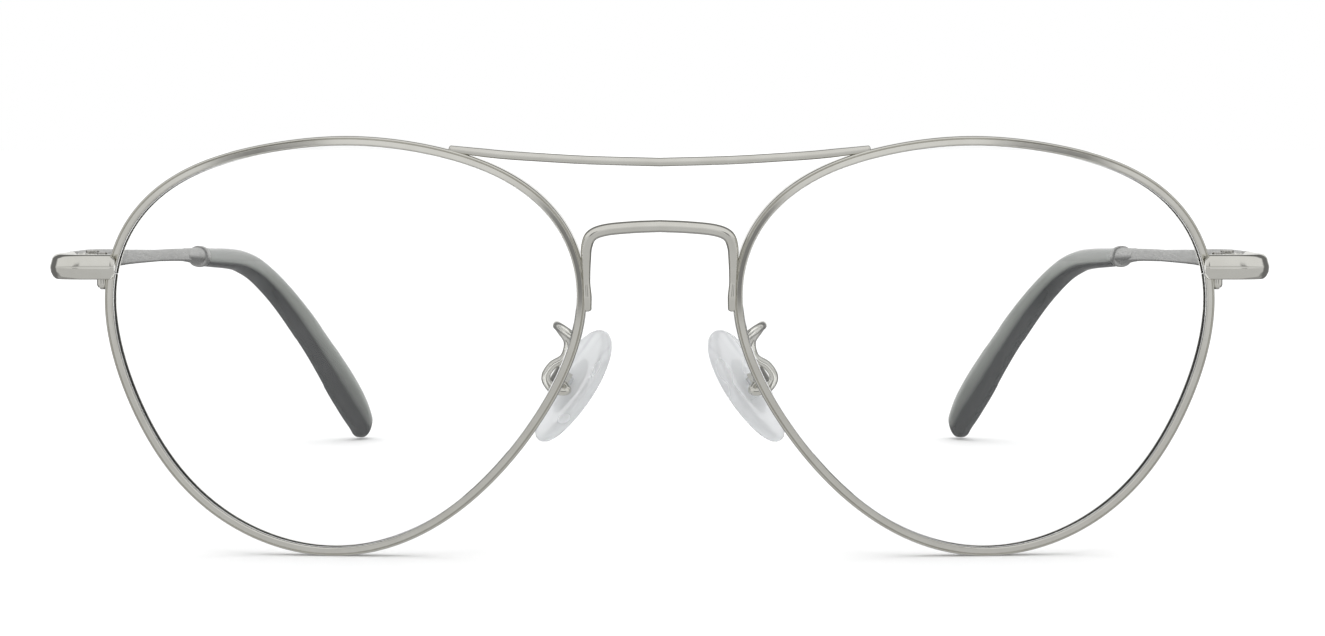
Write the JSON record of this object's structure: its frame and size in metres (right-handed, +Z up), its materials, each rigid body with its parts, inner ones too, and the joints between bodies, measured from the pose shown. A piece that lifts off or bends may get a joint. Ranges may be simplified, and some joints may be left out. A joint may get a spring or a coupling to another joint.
{
  "type": "eyeglasses",
  "caption": "Wire-rimmed eyeglasses with clear lenses, a brow bar above an arched bridge, adjustable nose pads and folding temples with curved dark ear tips.",
  "frame": {"origin": "centre of the whole box's footprint, on the surface that the open glasses stand on", "axes": "+X to the wearer's left, +Y from the front back along the temples, +Z up with the open glasses standing on the bottoms of the rims and the ends of the temple tips"},
  "size_m": [0.1418, 0.1426, 0.049],
  "materials": {
    "polished_metal": "polished silver plating, slightly warm",
    "satin_metal": "satin brushed silver",
    "screw_steel": "turned and slotted steel",
    "clear_lens": "clear, polished and uncoated in look",
    "dark_tip": "glossy moulded acetate",
    "silicone": "clear soft silicone, half gloss",
    "pad_insert": "clear moulded plate inside the pad"
  },
  "bodies": {
    "front": {"bridge": "polished_metal", "brow_bar": "polished_metal", "rim_left": "polished_metal", "lens_left": "clear_lens", "end_piece_left": "polished_metal", "rim_lock_upper_left": "polished_metal", "rim_lock_lower_left": "polished_metal", "rim_lock_screw_left": "screw_steel", "front_hinge_left": "polished_metal", "hinge_screw_left": "screw_steel", "pad_arm_left": "polished_metal", "pad_box_left": "polished_metal", "pad_screw_left": "screw_steel", "rim_right": "polished_metal", "lens_right": "clear_lens", "end_piece_right": "polished_metal", "rim_lock_upper_right": "polished_metal", "rim_lock_lower_right": "polished_metal", "rim_lock_screw_right": "screw_steel", "front_hinge_right": "polished_metal", "hinge_screw_right": "screw_steel", "pad_arm_right": "polished_metal", "pad_box_right": "polished_metal", "pad_screw_right": "screw_steel"},
    "temple_left": {"temple_left": "satin_metal", "temple_hinge_left": "polished_metal", "tip_ferrule_left": "satin_metal", "temple_tip_left": "dark_tip"},
    "temple_right": {"temple_right": "satin_metal", "temple_hinge_right": "polished_metal", "tip_ferrule_right": "satin_metal", "temple_tip_right": "dark_tip"},
    "pad_left": {"nose_pad_left": "silicone", "pad_insert_left": "pad_insert"},
    "pad_right": {"nose_pad_right": "silicone", "pad_insert_right": "pad_insert"}
  },
  "joints": [
    {"name": "temple_left_fold", "type": "hinge", "parent": "front", "child": "temple_left", "pos_m": [0.0672, -0.05795, 0.03373], "axis": [0, 0, 1], "range_deg": [0, 82]},
    {"name": "temple_right_fold", "type": "hinge", "parent": "front", "child": "temple_right", "pos_m": [-0.0672, -0.05795, 0.03373], "axis": [0, 0, -1], "range_deg": [0, 77]},
    {"name": "pad_left_rock", "type": "hinge", "parent": "front", "child": "pad_left", "pos_m": [0.0117, -0.05926, 0.02038], "axis": [0.4254, 0.866, 0.2627], "range_deg": [-8, 8]},
    {"name": "pad_right_rock", "type": "hinge", "parent": "front", "child": "pad_right", "pos_m": [-0.0117, -0.05926, 0.02038], "axis": [-0.4254, 0.866, 0.2627], "range_deg": [-8, 8]}
  ]
}
